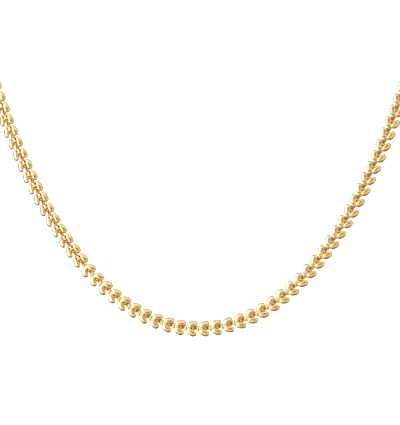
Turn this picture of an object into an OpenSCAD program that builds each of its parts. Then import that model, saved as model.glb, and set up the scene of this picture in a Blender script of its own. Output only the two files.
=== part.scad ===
// Leaf chain necklace: paired puffed leaves, each link hooked to the next by a flat
// slotted tab, in one closed loop that keeps the form in which it hangs round a neck.
// Millimetres, +Z up, the front faces -Y. The origin is where the loop rests on the
// nape, at the middle of the clasp.

/* [Loop] */
// Radius of the hanging curve at its lowest point
curve_r = 37; // [36.5:0.5:37.5]
// Length of each strand that hangs in the front plane, from the lowest point
strand_l = 116; // [114:1:118]
// Lean of the front plane back from upright, in degrees
lean = 24; // [22:1:26]
// How far the lowest point lies in front of the nape
front_reach = 90; // [88:1:92]
// How far the lowest point lies below the nape
front_drop = 112; // [110:1:114]
// Pull of the shoulder curve where it leaves the front plane
shoulder_pull = 40; // [36:1:44]
// Pull of the shoulder curve where it reaches the nape
nape_pull = 50; // [46:1:54]
// Outward turn of the front strands round the neck, in degrees for each millimetre
front_turn = 0.12; // [0.1:0.01:0.14]

/* [Leaf link] */
// Distance from one link to the next along the chain
link_pitch = 4; // [3.95:0.01:4.02]
// Length of a link from its root to the leaf tips
link_l = 3.2; // [3:0.1:3.4]
// Width of a link over both leaves
link_w = 4.9; // [4.8:0.1:5]
// Length of one leaf along its own axis
leaf_l = 3.2; // [3:0.1:3.4]
// Width of one leaf at its widest place
leaf_w = 1.9; // [1.8:0.05:2]
// Width of the blunt tip of a leaf
leaf_tip_w = 1.1; // [1:0.05:1.2]
// How far the widest place of a leaf lies from its middle towards the tip
leaf_bulge = 0.25; // [0.2:0.05:0.3]
// Splay of each leaf from the middle line of its link, in degrees
leaf_splay = 24; // [22:1:26]
// Turn of a link's leaves towards the outside of the loop, in degrees
link_turn = 4; // [3:0.5:5]
// How far a leaf swells forward of the chain's middle plane
leaf_rise = 0.7; // [0.6:0.05:0.8]
// How far a leaf's flat back lies behind the middle plane
leaf_back = 0.3; // [0.2:0.05:0.4]

/* [Joints of the chain] */
// Width of the slotted tab that hooks one link to the next
tab_w = 0.95; // [0.9:0.05:1.1]
// Width to which the tab flares at the next link's root
tab_flare_w = 1.5; // [1.4:0.05:1.6]
// Width of the metal at each side of the tab's slot
tab_wire = 0.3; // [0.28:0.01:0.32]
// Thickness of the tab
tab_t = 0.3; // [0.25:0.05:0.4]
// Gap left between one run of links and the next
run_gap = 0.2; // [0.15:0.05:0.3]

/* [Clasp] */
// Length of the clasp between the centres of its eyes
clasp_l = 6.8; // [6.4:0.1:7.2]
// Diameter of the clasp's barrel
barrel_d = 3; // [2.6:0.1:3.4]
// Diameter of the wire of each end ring
ring_wire = 0.6; // [0.5:0.05:0.6]

/* [Hidden] */
runs = 16;
links_per_run = 7;
function two_digits(i) = str(i < 10 ? "0" : "", i);
function run_name(i) = str("leaf_run_", two_digits(i));
$fn = 48;

gold = "#e0b45c";
chain_l = runs * links_per_run * link_pitch;

// Outline of a leaf: an arc on each side, cut off square at both ends
leaf_sag = (leaf_w - leaf_tip_w) / 2;
leaf_arc_r = (pow(leaf_l / 2 - leaf_bulge, 2) + pow(leaf_sag, 2)) / (2 * leaf_sag);
leaf_axis_z = leaf_rise - leaf_w / 2;

// Middle of the leaf, set so that the pair reaches link_l and link_w before it is turned
leaf_mid_x = link_l - leaf_l / 2 * cos(leaf_splay) - leaf_tip_w / 2 * sin(leaf_splay);
leaf_mid_y = link_w / 2 - leaf_w / 2 * cos(leaf_splay) - leaf_arc_r * (1 - cos(leaf_splay))
    - leaf_bulge * sin(leaf_splay);

// Root dome between the two leaves, and the eyelet next to it in the notch
dome_r = 0.9;
dome_x = 0.95;
dome_z = -0.2;
eyelet_x = 2.1;
eyelet_z = 0.15;
eyelet_ring_r = 0.3;
eyelet_wire_r = 0.16;

// Places along a link: the start of its tab, the start of the slot, the end of the slot,
// where the tab starts to flare, and the end of the flare. The tab laps tab_hook onto the
// next root.
tab_from = 1.9;
slot_from = 2.6;
slot_to = 3.3;
flare_to = 3.9;
tab_hook = 0.4;

// Loops at the two ends of the chain, the eyes of the clasp and its barrel
end_loop_r = 0.65;
end_loop_wire_r = 0.2;
end_loop_out = [-0.5, 0.3];
eye_r = 0.7;
eye_wire_r = 0.25;
barrel_l = 5.2;
barrel_end_d = 1.7;

// The loop as a route: a catenary in the leaning front plane, then a shoulder curve
// with two pulls that ends level across the nape. Distances run from the lowest point.
function asinh(x) = ln(x + sqrt(x * x + 1));
function unit(v) = v / norm(v);
low_point = [0, -front_reach, -front_drop];
slope = [0, sin(lean), cos(lean)];
function strand_point(d) =
    low_point + [curve_r * asinh(d / curve_r), 0, 0]
    + (sqrt(curve_r * curve_r + d * d) - curve_r) * slope;
leave_angle = atan(strand_l / curve_r);
leave_dir = [cos(leave_angle), 0, 0] + sin(leave_angle) * slope;
shoulder_ends = [
    strand_point(strand_l),
    strand_point(strand_l) + shoulder_pull * leave_dir,
    [nape_pull, 0, 0],
    [0, 0, 0]
];
function shoulder_point(u) =
    pow(1 - u, 3) * shoulder_ends[0] + 3 * pow(1 - u, 2) * u * shoulder_ends[1]
    + 3 * (1 - u) * u * u * shoulder_ends[2] + pow(u, 3) * shoulder_ends[3];

// Length along the shoulder curve against its own parameter, for even spacing
steps = 80;
shoulder_lengths = [
    for (i = 0, d = 0; i <= steps;
         d = d + norm(shoulder_point((i + 1) / steps) - shoulder_point(i / steps)), i = i + 1)
        [d, i / steps]
];
shoulder_l = shoulder_lengths[steps][0];
half_l = strand_l + shoulder_l;

// A point of the whole loop: d is negative on the left strand, positive on the right
function route_point(d) =
    let (away = abs(d),
         p = away <= strand_l ? strand_point(away)
             : shoulder_point(lookup(away - strand_l, shoulder_lengths)))
    [sign(d) * p.x, p.y, p.z];

// Direction in which the leaves face: it turns slowly outwards along both strands, then
// evenly round the neck until it points straight back at the nape
function facing(d) =
    let (past = min(max((abs(d) - strand_l) / shoulder_l, 0), 1),
         turn = front_turn * abs(d) * (1 - past) + 180 * past)
    [sign(d) * sin(turn), -cos(turn), tan(lean)];

// Stands its children at start, with X towards a second point and Z turned to face
module stand(start, towards, face) {
    x_dir = unit(towards - start);
    z_dir = unit(face - (face * x_dir) * x_dir);
    y_dir = cross(z_dir, x_dir);
    multmatrix([
        [x_dir.x, y_dir.x, z_dir.x, start.x],
        [x_dir.y, y_dir.y, z_dir.y, start.y],
        [x_dir.z, y_dir.z, z_dir.z, start.z],
        [0, 0, 0, 1]
    ]) children();
}

// Stands its children on the loop at d, with X along the chain and Z facing outwards
module on_loop(d) {
    stand(route_point(d), route_point(d + link_pitch), facing(d + link_pitch / 2))
        children();
}

// A closed ring of round wire, flat in the plane of its children's X and Y
module wire_ring(ring_r, wire_r) {
    rotate_extrude()
        translate([ring_r, 0])
            circle(r = wire_r);
}

// One puffed leaf with its axis along X, centred, cut flat at the back
module leaf() {
    intersection() {
        translate([0, 0, leaf_axis_z])
            rotate([0, 90, 0])
                rotate_extrude()
                    intersection() {
                        translate([leaf_w / 2 - leaf_arc_r, leaf_bulge])
                            circle(r = leaf_arc_r, $fn = 96);
                        translate([0, -leaf_l / 2])
                            square([leaf_w / 2, leaf_l]);
                    }
        translate([-leaf_l, -leaf_w, -leaf_back])
            cube([2 * leaf_l, 2 * leaf_w, 2 * leaf_w]);
    }
}

// The dome that joins both leaves at the root, cut flat at the back
module root_dome() {
    intersection() {
        translate([dome_x, 0, dome_z])
            sphere(r = dome_r);
        translate([dome_x - dome_r, -dome_r, -leaf_back])
            cube([2 * dome_r, 2 * dome_r, 2 * dome_r]);
    }
}

// The slotted tab from the eyelet forward to reach, where it hooks over the next root.
// It flares past its slot, as far as it reaches.
module slotted_tab(reach) {
    flare_end = min(flare_to, reach);
    flare_share = (flare_end - slot_to) / (flare_to - slot_to);
    end_w = tab_w + (tab_flare_w - tab_w) * flare_share;
    translate([0, 0, -tab_t / 2])
        linear_extrude(tab_t)
            difference() {
                polygon([
                    [tab_from, -tab_w / 2],
                    [slot_to, -tab_w / 2],
                    [flare_end, -end_w / 2],
                    [reach, -end_w / 2],
                    [reach, end_w / 2],
                    [flare_end, end_w / 2],
                    [slot_to, tab_w / 2],
                    [tab_from, tab_w / 2]
                ]);
                translate([slot_from, tab_wire - tab_w / 2])
                    square([slot_to - slot_from, tab_w - 2 * tab_wire]);
            }
}

// A whole link: two leaves on one root, the eyelet in their notch, and the tab
module leaf_link(reach) {
    rotate([0, 0, -link_turn])
        for (side = [-1, 1])
            translate([leaf_mid_x, side * leaf_mid_y, 0])
                rotate([0, 0, side * leaf_splay])
                    leaf();
    root_dome();
    translate([eyelet_x, 0, eyelet_z])
        wire_ring(eyelet_ring_r, eyelet_wire_r);
    slotted_tab(reach);
}

// One run of links, joined along the chain; the first and last runs end in a loop
module leaf_run(i) {
    first = (i - 1) * links_per_run;
    color(gold) {
        for (k = [0:links_per_run - 1])
            on_loop((first + k) * link_pitch - chain_l / 2)
                leaf_link(link_pitch + (k < links_per_run - 1 ? tab_hook : -run_gap));
        if (i == 1)
            on_loop(-chain_l / 2)
                translate([end_loop_out[0], 0, 0])
                    wire_ring(end_loop_r, end_loop_wire_r);
        if (i == runs)
            on_loop(chain_l / 2 - link_pitch)
                translate([link_pitch + end_loop_out[1], 0, 0])
                    wire_ring(end_loop_r, end_loop_wire_r);
    }
}

// The ring that links one end of the chain to one eye of the clasp
module end_ring(side) {
    loop_at = route_point(side * (chain_l / 2 + abs(end_loop_out[side > 0 ? 1 : 0])));
    eye_at = [side * clasp_l / 2, 0, 0];
    color(gold)
        stand((loop_at + eye_at) / 2, eye_at, facing(half_l))
            rotate([90, 0, 0])
                wire_ring(norm(loop_at - eye_at) / 2, ring_wire / 2);
}

// The clasp as one plain piece: a round barrel with an eye at each end
module clasp() {
    belly = (barrel_d - barrel_end_d) / 2;
    belly_r = (pow(barrel_l / 2, 2) + pow(belly, 2)) / (2 * belly);
    color(gold)
        stand([0, 0, 0], [1, 0, 0], facing(half_l)) {
            rotate([0, 90, 0])
                rotate_extrude()
                    intersection() {
                        translate([barrel_d / 2 - belly_r, 0])
                            circle(r = belly_r, $fn = 96);
                        translate([0, -barrel_l / 2])
                            square([barrel_d / 2, barrel_l]);
                    }
            for (side = [-1, 1])
                translate([side * clasp_l / 2, 0, 0])
                    wire_ring(eye_r, eye_wire_r);
        }
}

for (i = [1:runs])
    leaf_run(i);
end_ring(-1);  // end_ring_left
end_ring(1);  // end_ring_right
clasp();
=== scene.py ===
import math

import bmesh
import bpy
from mathutils import Matrix, Vector


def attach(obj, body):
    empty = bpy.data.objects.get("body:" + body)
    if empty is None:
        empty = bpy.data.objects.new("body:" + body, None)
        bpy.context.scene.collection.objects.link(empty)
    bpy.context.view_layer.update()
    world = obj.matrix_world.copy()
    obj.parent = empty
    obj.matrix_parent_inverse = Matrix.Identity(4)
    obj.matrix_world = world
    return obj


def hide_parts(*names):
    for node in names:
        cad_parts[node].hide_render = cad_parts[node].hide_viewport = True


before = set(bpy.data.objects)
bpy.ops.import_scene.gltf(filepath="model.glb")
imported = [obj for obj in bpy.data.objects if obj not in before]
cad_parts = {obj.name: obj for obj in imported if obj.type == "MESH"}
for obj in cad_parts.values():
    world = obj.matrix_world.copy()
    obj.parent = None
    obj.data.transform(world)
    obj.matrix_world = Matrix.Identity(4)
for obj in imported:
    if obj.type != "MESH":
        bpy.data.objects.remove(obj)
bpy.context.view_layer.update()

# The line that the chain follows, in the form in which it hangs round a neck: a catenary in a
# front plane that leans back, then a shoulder curve on each side that ends across the nape.
# Distances run along it from the lowest point and are negative on the left strand.
mm = 0.001
curve_r = 37 * mm
strand_l = 116 * mm
lean = math.radians(24)
low_point = Vector((0, -90, -112)) * mm
shoulder_pull, nape_pull = 40 * mm, 50 * mm
link_pitch = 4 * mm
runs, links_per_run = 16, 7
chain_l = runs * links_per_run * link_pitch
slope = Vector((0, math.sin(lean), math.cos(lean)))
across = Vector((1, 0, 0))


def strand_point(along):
    sideways = curve_r * math.asinh(along / curve_r)
    upwards = math.hypot(curve_r, along) - curve_r
    return low_point + sideways * across + upwards * slope


leave_angle = math.atan(strand_l / curve_r)
leave_dir = math.cos(leave_angle) * across + math.sin(leave_angle) * slope
shoulder_ends = [
    strand_point(strand_l),
    strand_point(strand_l) + shoulder_pull * leave_dir,
    nape_pull * across,
    Vector((0, 0, 0)),
]


def shoulder_point(u):
    weights = ((1 - u) ** 3, 3 * (1 - u) ** 2 * u, 3 * (1 - u) * u * u, u**3)
    return sum((w * p for w, p in zip(weights, shoulder_ends)), Vector())


shoulder_steps = 80
shoulder_lengths = [0]
for i in range(shoulder_steps):
    step = shoulder_point((i + 1) / shoulder_steps) - shoulder_point(i / shoulder_steps)
    shoulder_lengths.append(shoulder_lengths[-1] + step.length)
shoulder_l = shoulder_lengths[-1]


def route_point(along):
    past = abs(along) - strand_l
    if past <= 0:
        point = strand_point(abs(along))
    else:
        past = min(past, shoulder_l)
        i = min(shoulder_steps - 1, sum(length <= past for length in shoulder_lengths) - 1)
        share = (past - shoulder_lengths[i]) / (shoulder_lengths[i + 1] - shoulder_lengths[i])
        point = shoulder_point((i + share) / shoulder_steps)
    return Vector((math.copysign(point.x, along), point.y, point.z))


# How far the chain turns outwards for each metre of a strand, and how far its whole front lies
# turned to one side.
front_turn = math.radians(0.12) / mm
lies_turned = math.radians(-11)


def facing(along):
    """The way in which the leaves face: forwards in front, and backwards at the nape."""
    past = min(max((abs(along) - strand_l) / shoulder_l, 0), 1)
    turn = math.copysign(front_turn * abs(along) * (1 - past) + math.pi * past, along)
    turn += lies_turned * (1 - past)
    return Vector((math.sin(turn), -math.cos(turn), math.tan(lean)))


def stand(start, towards, face):
    """Places a shape drawn in millimetres: at start, x towards a point and z the way it faces."""
    x_dir = (towards - start).normalized()
    z_dir = (face - face.dot(x_dir) * x_dir).normalized()
    turn = Matrix((x_dir, z_dir.cross(x_dir), z_dir)).transposed().to_4x4()
    return Matrix.Translation(start) @ turn @ Matrix.Scale(mm, 4)


# Leaf links: each is one brass stamping, with two puffed leaves that splay from a raised root,
# a bead in the notch between them and a slotted strap that hooks over the next link's root. On
# the left strand they hang pulled apart, which shows two wells in each root and the open slot.
def joined(mesh, shape, matrix=Matrix.Identity(4)):
    """Adds a shape, in its own little mesh, to a larger one at its place."""
    before = len(mesh.verts)
    data = bpy.data.meshes.new("shape")
    shape.to_mesh(data)
    shape.free()
    mesh.from_mesh(data)
    bpy.data.meshes.remove(data)
    mesh.verts.ensure_lookup_table()
    bmesh.ops.transform(mesh, matrix=matrix, verts=mesh.verts[before:])


def pebble(cuts, squareness, half_size=(1, 1, 1), middle=(0, 0, 0)):
    """A closed rounded block: a ball at squareness 2, with fuller corners above that."""
    shape = bmesh.new()
    bmesh.ops.create_cube(shape, size=2)
    bmesh.ops.subdivide_edges(shape, edges=shape.edges[:], cuts=cuts, use_grid_fill=True)
    for v in shape.verts:
        v.co /= sum(abs(c) ** squareness for c in v.co) ** (1 / squareness)
    bmesh.ops.scale(shape, vec=half_size, verts=shape.verts)
    bmesh.ops.translate(shape, vec=middle, verts=shape.verts)
    return shape


# A leaf in millimetres: its half sizes, the rise of its front, the depth of its back and the
# dish in it. The shares below them change its form from its root end, -1, to its tip, 1.
leaf_half_l, leaf_half_w = 1.85, 1.16
leaf_rise, leaf_back, leaf_dish = 0.78, 0.28, 0.12
leaf_squareness = 2.6
widening, summit_to_tip = 0.06, 0.22
tip_inwards, tip_outwards, tip_longer = 0.3, -0.2, 1.07
leaf_bow = 0.16
back_slope, dish_from = 1.7, 0.6
# A pulled link's leaf reaches further back, but is pinched there to leave its well free. The one
# on the outer side is slimmer.
pulled_longer, pulled_slimmer = 1.14, 0.9
pinch_from, pinch_rate, pinched_w = -0.1, 1.5, 0.15


def leaf(side, pulled):
    """One leaf, its root end at -x and its tip at x. Inwards is -y until side mirrors it."""
    shape = pebble(2, leaf_squareness)
    for v in shape.verts:
        x, y, z = v.co
        half_w = leaf_half_w * (1 + widening * x)
        if pulled and side < 0:
            half_w *= pulled_slimmer
        if pulled and y < 0:
            half_w *= max(pinched_w, 1 + pinch_rate * min(0, x - pinch_from))
        if x > 0:
            half_w *= 1 + (tip_inwards if y < 0 else tip_outwards) * x
        bow = leaf_bow * (1 - x * x) - leaf_bow / 2
        if z > 0:
            height = leaf_rise * z * (1 + summit_to_tip * x)
        else:
            height = leaf_dish * max(0, -z - dish_from) / (1 - dish_from)
            height -= leaf_back * min(1, -back_slope * z)
        if x > 0:
            x *= tip_longer
        elif pulled:
            x *= pulled_longer
        v.co = (leaf_half_l * x, side * (half_w * y + bow), height)
    if side < 0:
        bmesh.ops.reverse_faces(shape, faces=shape.faces)
    return shape


# Stations of the root: distance along the link, half width and height. The wells lie between
# the second and the third, and well_y gives their sides as shares of the half width. Points at
# the bottom of a well or slot are marked 1, and there painted shade makes the gold nearly black.
root_stations = (
    (0.02, 0.74, 0.2),
    (0.22, 0.93, 0.42),
    (0.96, 1.0, 0.5),
    (1.3, 1.0, 0.42),
    (1.72, 0.95, 0.06),
    (2.5, 0.72, 0.06),
)
root_low, root_crown = -0.28, 0.35
well_y, well_depth, well_rim = (0.25, 0.92), 0.6, 0.03


def root(pulled):
    shape = bmesh.new()
    hole_shade = shape.verts.layers.float.new("hole_shade")
    bmesh.ops.create_cube(shape, size=1)
    from_x, to_x = root_stations[0][0], root_stations[-1][0]
    bmesh.ops.scale(shape, vec=(to_x - from_x, 2, -2 * root_low), verts=shape.verts)
    bmesh.ops.translate(shape, vec=((from_x + to_x) / 2, 0, 0), verts=shape.verts)
    cuts = [((station[0], 0, 0), (1, 0, 0)) for station in root_stations[1:-1]]
    cuts += [((0, side * y, 0), (0, 1, 0)) for y in well_y for side in (-1, 1)]
    for place, normal in cuts:
        geometry = shape.verts[:] + shape.edges[:] + shape.faces[:]
        bmesh.ops.bisect_plane(shape, geom=geometry, plane_co=place, plane_no=normal)
    for v in shape.verts:
        half_w, height = min(root_stations, key=lambda station: abs(station[0] - v.co.x))[1:]
        if v.co.z > 0:
            v.co.z = height * (1 - root_crown * v.co.y**2)
        v.co.y *= half_w
    # The wells of a pulled link are sunk from the faces that look up between these cuts.
    wells = [
        f
        for f in shape.faces
        if pulled
        and f.normal.z > 0.5
        and root_stations[1][0] < f.calc_center_median().x < root_stations[2][0]
        and well_y[0] < abs(f.calc_center_median().y) < well_y[1]
    ]
    bmesh.ops.inset_individual(shape, faces=wells, thickness=well_rim)
    for f in bmesh.ops.extrude_discrete_faces(shape, faces=wells)["faces"]:
        bmesh.ops.translate(shape, vec=(0, 0, -well_depth), verts=f.verts[:])
        for v in f.verts:
            # The floors of the wells are marked for painted shade.
            v[hole_shade] = 1
    return shape


# Stations of the strap: distance along the link, half width, half width of its slot, and height.
# Its end flares into a hook, which on a pulled link is narrower and further back. The slotted
# rows are those where the middle is cut out: the slot itself, and the gap in the hook's end.
strap_stations = (
    (1.8, 0.5, 0.14, -0.02),
    (2.62, 0.72, 0.27, 0.14),
    (3.38, 0.76, 0.27, 0.24),
    (3.7, 0.94, 0.28, 0.52),
    (4.1, 1.1, 0.42, 0.46),
    (4.5, 1.1, 0.54, -0.1),
)
slotted_rows = (1, 4)
strap_crown, strap_t = 0.26, 0.26
hook_from, pulled_hook_w, pulled_hook_back = 3.5, 0.72, 0.2


def strap(pulled):
    """A grid from -1 to 1 with a row from station to station, and three columns across."""
    shape = bmesh.new()
    rows, columns = len(strap_stations) - 1, 3
    column_w = 2 / columns
    bmesh.ops.create_grid(shape, x_segments=rows, y_segments=columns, size=1)
    slots = []
    for f in shape.faces:
        place = f.calc_center_median()
        row = int((place.x + 1) / 2 * rows)
        if abs(place.y) < column_w / 2 and row in slotted_rows:
            slots.append(f)
    for v in shape.verts:
        x, half_w, slot_w, height = strap_stations[round((v.co.x + 1) / 2 * rows)]
        outer = abs(v.co.y) > column_w
        if pulled and x > hook_from:
            half_w *= pulled_hook_w
            x -= pulled_hook_back
        height -= strap_crown if outer else 0
        v.co = (x, math.copysign(half_w if outer else slot_w, v.co.y), height)
    bmesh.ops.delete(shape, geom=slots, context="FACES")
    bmesh.ops.recalc_face_normals(shape, faces=shape.faces)
    bmesh.ops.solidify(shape, geom=shape.faces[:], thickness=strap_t)
    return shape


# Half sizes and middle of the bead, of the boss on the root, and of the strap's inner layer,
# which is folded back under it and closes its slot from behind. The last two are given for a
# slack link and then for a pulled one, and so is the splay of the leaves.
bead = ((0.5, 0.46, 0.56), (2.18, 0, 0.12))
bosses = (((0.6, 0.6, 0.46), (1.05, 0, 0.28)), ((0.52, 0.52, 0.46), (1.25, 0, 0.28)))
folds = (((1.35, 0.66, 0.27), (2.9, 0, -0.17)), ((1.35, 0.66, 0.16), (2.9, 0, -0.28)))
fold_squareness = 4
leaf_mid, leaf_tilt = Vector((1.68, 1.33, 0.08)), math.radians(15)
leaf_splays = (math.radians(25), math.radians(16))
pulled_inner_out = 0.14
link_turn = Matrix.Rotation(math.radians(-4), 4, "Z")


def link(pulled):
    mesh = bmesh.new()
    for side in (-1, 1):
        splay = Matrix.Rotation(side * leaf_splays[pulled], 4, "Z")
        tilt = Matrix.Rotation(-side * leaf_tilt, 4, "X")
        out = pulled_inner_out if pulled and side > 0 else 0
        place = Matrix.Translation((leaf_mid.x, side * leaf_mid.y + out, leaf_mid.z))
        joined(mesh, leaf(side, pulled), link_turn @ place @ splay @ tilt)
    joined(mesh, root(pulled))
    joined(mesh, pebble(1, 2, *bosses[pulled]))
    joined(mesh, pebble(1, 2, *bead))
    joined(mesh, strap(pulled))
    fold = pebble(1, fold_squareness, *folds[pulled])
    # On a pulled link the top of the fold, seen through the open slot, is marked for painted shade.
    if pulled:
        hole_shade = fold.verts.layers.float.new("hole_shade")
        max(fold.verts, key=lambda v: v.co.z)[hole_shade] = 1
    joined(mesh, fold)
    # Each point keeps its place on its own link, which tells the gold where its painted shade goes.
    on_link = mesh.verts.layers.float_vector.new("on_link")
    for v in mesh.verts:
        v[on_link] = v.co
    data = bpy.data.meshes.new("link")
    mesh.to_mesh(data)
    mesh.free()
    return data


# The links are pulled apart from the left end of the chain down to this place on it.
pulled_link, slack_link = link(True), link(False)
pulled_to = -48 * mm


# Gold plate on brass, tumbled and then mirror-polished: a warm yellow mirror, whose reflections
# waver a little and are blurred here and there. Brown painted shade is laid into each crevice,
# and nearly black painted shade down in the wells and slots.
def linear(sheet_hex):
    parts = [int(sheet_hex[i : i + 2], 16) / 255 for i in (1, 3, 5)]
    return tuple(c / 12.92 if c <= 0.04045 else ((c + 0.055) / 1.055) ** 2.4 for c in parts) + (1,)


def node(tree, kind, settings, links=None):
    """Adds a node. Settings go by property or socket, links by socket: its name or its number."""
    made = tree.nodes.new(kind)
    for name, value in settings.items():
        if isinstance(name, int) or name in made.inputs:
            made.inputs[name].default_value = value
        else:
            setattr(made, name, value)
    for name, source in (links or {}).items():
        tree.links.new(source, made.inputs[name])
    return made


leaf_gold = bpy.data.materials.new("polished_gold_plate")
leaf_gold.use_nodes = True
gold_tree = leaf_gold.node_tree
gold_shader = gold_tree.nodes["Principled BSDF"]
gold_shader.inputs["Metallic"].default_value = 1
chain_place = node(gold_tree, "ShaderNodeTexCoord", {}).outputs["Object"]
link_place = node(gold_tree, "ShaderNodeAttribute", {"attribute_name": "on_link"})
shaded_hole_mask = node(gold_tree, "ShaderNodeAttribute", {"attribute_name": "hole_shade"})

# Round places of painted shade on a link, in millimetres, each given once for both halves, front
# and back: its middle, how far from it the shade is whole, how far it reaches, and how strong it is.
painted_shade_places = (
    ((1.68, 0, 0.3), 0.2, 0.42, 1),
    ((2.0, 0.56, 0.15), 0.1, 0.42, 1),
    ((2.85, 0, 0), 0.16, 0.45, 1),
    ((3.3, 0, 0.2), 0.7, 1.3, 0.35),
)
folded_place = node(
    gold_tree,
    "ShaderNodeVectorMath",
    {"operation": "ABSOLUTE"},
    {0: link_place.outputs["Vector"]},
)
crevice_shade_share = None
for middle, whole_to, ends_at, strength in painted_shade_places:
    away = node(
        gold_tree,
        "ShaderNodeVectorMath",
        {"operation": "DISTANCE", 1: middle},
        {0: folded_place.outputs[0]},
    )
    fade = {"From Min": ends_at, "From Max": whole_to, "To Max": strength}
    spot = node(
        gold_tree,
        "ShaderNodeMapRange",
        {"interpolation_type": "SMOOTHSTEP", **fade},
        {"Value": away.outputs["Value"]},
    )
    if crevice_shade_share is not None:
        both = {0: crevice_shade_share.outputs[0], 1: spot.outputs[0]}
        spot = node(gold_tree, "ShaderNodeMath", {"operation": "MAXIMUM"}, both)
    crevice_shade_share = spot

# Numbers of a colour mix's sockets: its share, the colour under, the colour over, and its result.
mix_share, mix_under, mix_over, mix_result = 0, 6, 7, 2
# Painted shade: the gold is mixed towards brown in these places.
brown_shaded_gold = node(
    gold_tree,
    "ShaderNodeMix",
    {"data_type": "RGBA", mix_under: linear("#FFE4AC"), mix_over: linear("#B87A32")},
    {mix_share: crevice_shade_share.outputs[0]},
)
# Painted shade: the gold is made nearly black where the hole mark is set, in the wells and the slot.
well_shaded_gold = node(
    gold_tree,
    "ShaderNodeMix",
    {"data_type": "RGBA", mix_over: linear("#2E220E")},
    {mix_share: shaded_hole_mask.outputs["Fac"], mix_under: brown_shaded_gold.outputs[mix_result]},
)
gold_tree.links.new(well_shaded_gold.outputs[mix_result], gold_shader.inputs["Base Color"])

rubbed_mm, rubbed_rough = 0.9, {"To Min": 0.07, "To Max": 0.15}
rubbing = node(
    gold_tree,
    "ShaderNodeTexNoise",
    {"Scale": 1 / (rubbed_mm * mm), "Detail": 3},
    {"Vector": chain_place},
)
blur = node(gold_tree, "ShaderNodeMapRange", rubbed_rough, {"Value": rubbing.outputs["Fac"]})
gold_tree.links.new(blur.outputs[0], gold_shader.inputs["Roughness"])

# Polishing marks are a few hundredths of a millimetre wide, and are drawn coarser so that they
# show close up.
waver_mm, waver_height_mm = 1.1, 0.035
mark_mm, mark_height_mm = 0.12, 0.0012
waver = node(
    gold_tree,
    "ShaderNodeTexNoise",
    {"Scale": 1 / (waver_mm * mm), "Detail": 1},
    {"Vector": chain_place},
)
marks = node(
    gold_tree,
    "ShaderNodeTexNoise",
    {"Scale": 1 / (mark_mm * mm), "Detail": 2},
    {"Vector": chain_place},
)
wavering = node(
    gold_tree,
    "ShaderNodeBump",
    {"Distance": waver_height_mm * mm},
    {"Height": waver.outputs["Fac"]},
)
marked = node(
    gold_tree,
    "ShaderNodeBump",
    {"Distance": mark_height_mm * mm},
    {"Height": marks.outputs["Fac"], "Normal": wavering.outputs[0]},
)
gold_tree.links.new(marked.outputs[0], gold_shader.inputs["Normal"])


def piece(name, mesh, material, slot, *nodes):
    """Makes an object of a mesh, rounded once, that stands for nodes of the frame."""
    data = bpy.data.meshes.new(name)
    mesh.to_mesh(data)
    mesh.free()
    data.materials.append(material)
    data.shade_smooth()
    made = bpy.data.objects.new(name, data)
    bpy.context.scene.collection.objects.link(made)
    rounding = made.modifiers.new("rounding", "SUBSURF")
    rounding.levels = rounding.render_levels = 1
    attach(made, "root")
    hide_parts(*nodes)


def wire_loop(mesh, ring_r, wire_r, place, opened=0, sides=8, steps=20):
    """A ring of round wire in its own plane, closed, or cut open by an angle, its ends capped."""
    shape = bmesh.new()
    turn = Matrix.Translation((ring_r, 0, 0)) @ Matrix.Rotation(math.pi / 2, 4, "X")
    bmesh.ops.create_circle(shape, radius=wire_r, segments=sides, cap_ends=opened > 0, matrix=turn)
    bmesh.ops.spin(
        shape,
        geom=shape.verts[:] + shape.edges[:] + shape.faces[:],
        cent=(0, 0, 0),
        axis=(0, 0, 1),
        angle=2 * math.pi - opened,
        steps=steps,
        use_merge=not opened,
    )
    bmesh.ops.recalc_face_normals(shape, faces=shape.faces)
    joined(mesh, shape, place)


# A small wire loop at each end of the chain takes the end ring. Its middle lies this far beyond
# the chain's own end, on the left and on the right.
end_loop_r, end_loop_wire_r = 0.65, 0.2
end_loop_out = {-1: 0.5, 1: 0.3}
for i in range(runs):
    mesh = bmesh.new()
    for k in range(links_per_run):
        number = i * links_per_run + k
        along = number * link_pitch - chain_l / 2
        before = len(mesh.verts)
        mesh.from_mesh(pulled_link if along < pulled_to else slack_link)
        mesh.verts.ensure_lookup_table()
        hook = route_point(along + link_pitch)
        place = stand(route_point(along), hook, facing(along + link_pitch / 2))
        bmesh.ops.transform(mesh, matrix=place, verts=mesh.verts[before:])
        if number == 0:
            beyond = Matrix.Translation((-end_loop_out[-1], 0, 0))
            wire_loop(mesh, end_loop_r, end_loop_wire_r, place @ beyond)
        if number == runs * links_per_run - 1:
            beyond = Matrix.Translation((link_pitch / mm + end_loop_out[1], 0, 0))
            wire_loop(mesh, end_loop_r, end_loop_wire_r, place @ beyond)
    piece(f"leaf_links_{i + 1:02}", mesh, leaf_gold, "leaf_gold", f"leaf_run_{i + 1:02}")

# End rings: jump rings of drawn brass wire, bent round and closed with their ends butted, which
# tie the two ends of the chain to the clasp. They are plated with the same warm gold, over the
# fine lines that the draw plate leaves, and are hazier than the polished leaves.
clasp_gold = bpy.data.materials.new("drawn_and_turned_gold_plate")
clasp_gold.use_nodes = True
clasp_tree = clasp_gold.node_tree
clasp_shader = clasp_tree.nodes["Principled BSDF"]
clasp_shader.inputs["Metallic"].default_value = 1
clasp_shader.inputs["Base Color"].default_value = linear("#F6D998")
ring_and_clasp_place = node(clasp_tree, "ShaderNodeTexCoord", {}).outputs["Object"]
handled_mm, handled_rough = 0.8, {"To Min": 0.1, "To Max": 0.24}
handled = node(
    clasp_tree,
    "ShaderNodeTexNoise",
    {"Scale": 1 / (handled_mm * mm), "Detail": 3},
    {"Vector": ring_and_clasp_place},
)
haze = node(clasp_tree, "ShaderNodeMapRange", handled_rough, {"Value": handled.outputs["Fac"]})
clasp_tree.links.new(haze.outputs[0], clasp_shader.inputs["Roughness"])

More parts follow.
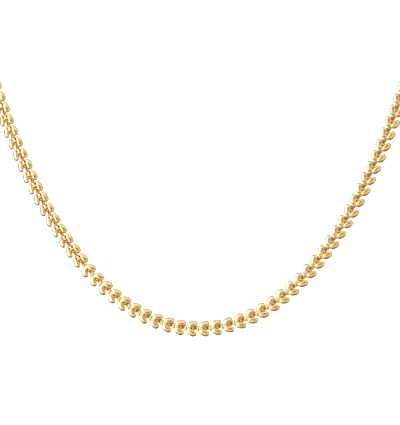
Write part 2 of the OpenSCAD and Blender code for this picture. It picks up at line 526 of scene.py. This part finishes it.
# A wave texture at scale 1 repeats every wave_l metres. Tool marks are nearer 0.05 mm apart, and
# are drawn coarser so that they show close up.
wave_l = 0.314
tool_pitch_mm, tool_height_mm = 0.16, 0.003
tool_marks = node(
    clasp_tree,
    "ShaderNodeTexWave",
    {"bands_direction": "X", "Scale": wave_l / (tool_pitch_mm * mm), "Distortion": 0.4, "Detail": 1},
    {"Vector": ring_and_clasp_place},
)
lines = node(
    clasp_tree,
    "ShaderNodeBump",
    {"Distance": tool_height_mm * mm},
    {"Height": tool_marks.outputs["Fac"]},
)
clasp_tree.links.new(lines.outputs[0], clasp_shader.inputs["Normal"])

# Each ring reaches from the middle of an end loop to the middle of the clasp's eye, and stands on
# edge, with its cut half way between the two.
ring_wire_r, ring_cut = 0.3, math.radians(5)
eye_out = 3.4 * mm
at_nape = facing(strand_l + shoulder_l)
on_edge = Matrix.Rotation(math.pi / 2, 4, "X") @ Matrix.Rotation(math.pi / 2, 4, "Z")
for side, hand in ((-1, "left"), (1, "right")):
    loop_at = route_point(side * (chain_l / 2 + end_loop_out[side] * mm))
    eye_at = side * eye_out * across
    place = stand((loop_at + eye_at) / 2, eye_at, at_nape) @ on_edge
    ring_r = (loop_at - eye_at).length / 2 / mm
    mesh = bmesh.new()
    wire_loop(mesh, ring_r, ring_wire_r, place, opened=ring_cut, sides=10, steps=24)
    piece(f"jump_ring_{hand}", mesh, clasp_gold, "clasp_gold", f"end_ring_{hand}")

# Clasp: a plain barrel of turned brass in two halves that screw together at its middle, with a
# collar and a wire eye at each end, plated with the same gold.
barrel_half_l, barrel_r, barrel_end_r = 2.6, 1.5, 0.85
eye_r, eye_wire_r = 0.7, 0.25
seam, collar_l, groove = 0.09, 0.42, 0.07
belly = barrel_r - barrel_end_r
belly_r = (barrel_half_l**2 + belly**2) / (2 * belly)


def barrel_radius(x):
    return barrel_r - belly_r + math.sqrt(belly_r**2 - x * x)


# The outline of the left half, from its end past the collar and two points on the curve to the
# seam. Its mirror image is the right half's.
collar_end = -barrel_half_l + collar_l
curve_points = (-1.5, -0.8)
profile = [(-barrel_half_l, 0)]
for x in (-barrel_half_l, collar_end, *curve_points, -seam):
    profile.append((x, barrel_radius(x)))
    if x == collar_end:
        profile.append((x + groove, barrel_radius(x) - groove))
        profile.append((x + 2 * groove, barrel_radius(x + 2 * groove)))
profile.append((-seam / 2, barrel_r - groove))
profile += [(-x, r) for x, r in reversed(profile)]
barrel = bmesh.new()
outline = [barrel.verts.new((x, r, 0)) for x, r in profile]
edges = [barrel.edges.new(pair) for pair in zip(outline, outline[1:])]
bmesh.ops.spin(
    barrel,
    geom=outline + edges,
    cent=(0, 0, 0),
    axis=(1, 0, 0),
    angle=2 * math.pi,
    steps=20,
    use_merge=True,
)
bmesh.ops.remove_doubles(barrel, verts=barrel.verts, dist=0.001)
bmesh.ops.recalc_face_normals(barrel, faces=barrel.faces)
clasp_place = stand(Vector((0, 0, 0)), across, at_nape)
mesh = bmesh.new()
joined(mesh, barrel, clasp_place)
for side in (-1, 1):
    eye_place = clasp_place @ Matrix.Translation((side * eye_out / mm, 0, 0))
    wire_loop(mesh, eye_r, eye_wire_r, eye_place)
piece("barrel_clasp", mesh, clasp_gold, "clasp_gold", "clasp")

# Floor: plain white paper far below the loop, lit by a pool of light where the camera looks. It
# stays out of the metal's reflections, where it would wash out the darker rims.
floor_z, floor_half = -1.0, 12
floor_mesh = bmesh.new()
bmesh.ops.create_grid(floor_mesh, x_segments=1, y_segments=1, size=floor_half)
bmesh.ops.translate(floor_mesh, vec=(0, 0, floor_z), verts=floor_mesh.verts)
floor_data = bpy.data.meshes.new("floor")
floor_mesh.to_mesh(floor_data)
floor_mesh.free()
floor = bpy.data.objects.new("floor", floor_data)
bpy.context.scene.collection.objects.link(floor)
paper = bpy.data.materials.new("white_paper")
paper.use_nodes = True
paper_shader = paper.node_tree.nodes["Principled BSDF"]
paper_shader.inputs["Base Color"].default_value = linear("#EDEDED")
paper_shader.inputs["Roughness"].default_value = 0.9
floor_data.materials.append(paper)
floor.visible_glossy = False

pool = bpy.data.objects.new("pool_of_light", bpy.data.lights.new("pool_of_light", "SPOT"))
bpy.context.scene.collection.objects.link(pool)
pool.location = (0, 2.1, 1.6)
pool.data.energy = 400
pool.data.spot_size = math.radians(38)
pool.data.spot_blend = 0.3
pool.data.shadow_soft_size = 0.1

# Room: soft studio light from all round, which the polished metal mirrors. It is made of round
# patches that are blended over dim walls, the last on top. Each is given by the way to it, which
# is to the right, up and towards the camera, its inner and outer angle, and its light.
towards_camera = Vector((0, -math.cos(lean), math.sin(lean)))
wall_light = (0.27, 0.245, 0.19)
behind = ((0, 0, -1), 16, 32, (1.5, 1.5, 1.4))
front = ((0, 0, 1), 48, 88, (0.82, 0.79, 0.72))
below = ((0.1, -1, 0.2), 15, 50, (0.14, 0.13, 0.1))
overhead = ((0, 1, 0.9), 15, 42, (0.95, 0.95, 0.92))
upper_lamp = ((-0.9, 0.38, 0.65), 11, 25, (2.6, 2.6, 2.5))
lower_lamp = ((-0.9, -0.2, 0.65), 11, 25, (2.6, 2.6, 2.5))
camera_shade = ((0, 0, 1), 10, 25, (0.4, 0.27, 0.11))
world = bpy.data.worlds.new("studio")
bpy.context.scene.world = world
world.use_nodes = True
room_tree = world.node_tree
room_tree.nodes.clear()
way = node(room_tree, "ShaderNodeTexCoord", {}).outputs["Generated"]
walls = node(room_tree, "ShaderNodeRGB", {})
walls.outputs[0].default_value = (*wall_light, 1)
room = walls.outputs[0]
for patch in (behind, front, below, overhead, upper_lamp, lower_lamp, camera_shade):
    (right, up, nearer), inner, outer, light = patch
    middle = (right * across + up * slope + nearer * towards_camera).normalized()
    nearness = node(
        room_tree,
        "ShaderNodeVectorMath",
        {"operation": "DOT_PRODUCT", 1: middle},
        {0: way},
    )
    edge = {"From Min": math.cos(math.radians(outer)), "From Max": math.cos(math.radians(inner))}
    share = node(
        room_tree,
        "ShaderNodeMapRange",
        {"interpolation_type": "SMOOTHSTEP", **edge},
        {"Value": nearness.outputs["Value"]},
    )
    blended = node(
        room_tree,
        "ShaderNodeMix",
        {"data_type": "RGBA", mix_over: (*light, 1)},
        {mix_share: share.outputs[0], mix_under: room},
    )
    room = blended.outputs[mix_result]
backing = node(room_tree, "ShaderNodeBackground", {}, {"Color": room})
node(room_tree, "ShaderNodeOutputWorld", {}, {"Surface": backing.outputs[0]})

# Camera: square to the leaning front plane, as in the photo, one metre away, and framed so that
# the low end of the loop fills the picture while its shoulders run out at the sides.
photo_w, photo_h, px_per_mm = 400, 425, 3.058
low_point_px = Vector((199.1, 328.6))
roll = math.radians(0.16)
camera_distance = 1.0
sensor = 36
aim = Vector((photo_w / 2, photo_h / 2)) - low_point_px
target = low_point + aim.x / px_per_mm * mm * across - aim.y / px_per_mm * mm * slope
camera = bpy.data.objects.new("camera", bpy.data.cameras.new("camera"))
bpy.context.scene.collection.objects.link(camera)
bpy.context.scene.camera = camera
camera.location = target + camera_distance * towards_camera
tilt = Matrix.Rotation(math.pi / 2 - lean, 3, "X") @ Matrix.Rotation(roll, 3, "Z")
camera.rotation_euler = tilt.to_euler()
camera.data.sensor_width = sensor
camera.data.lens = sensor * camera_distance / (photo_h / px_per_mm * mm)
camera.data.clip_start, camera.data.clip_end = 0.01, 50
bpy.context.scene.view_settings.view_transform = "Standard"
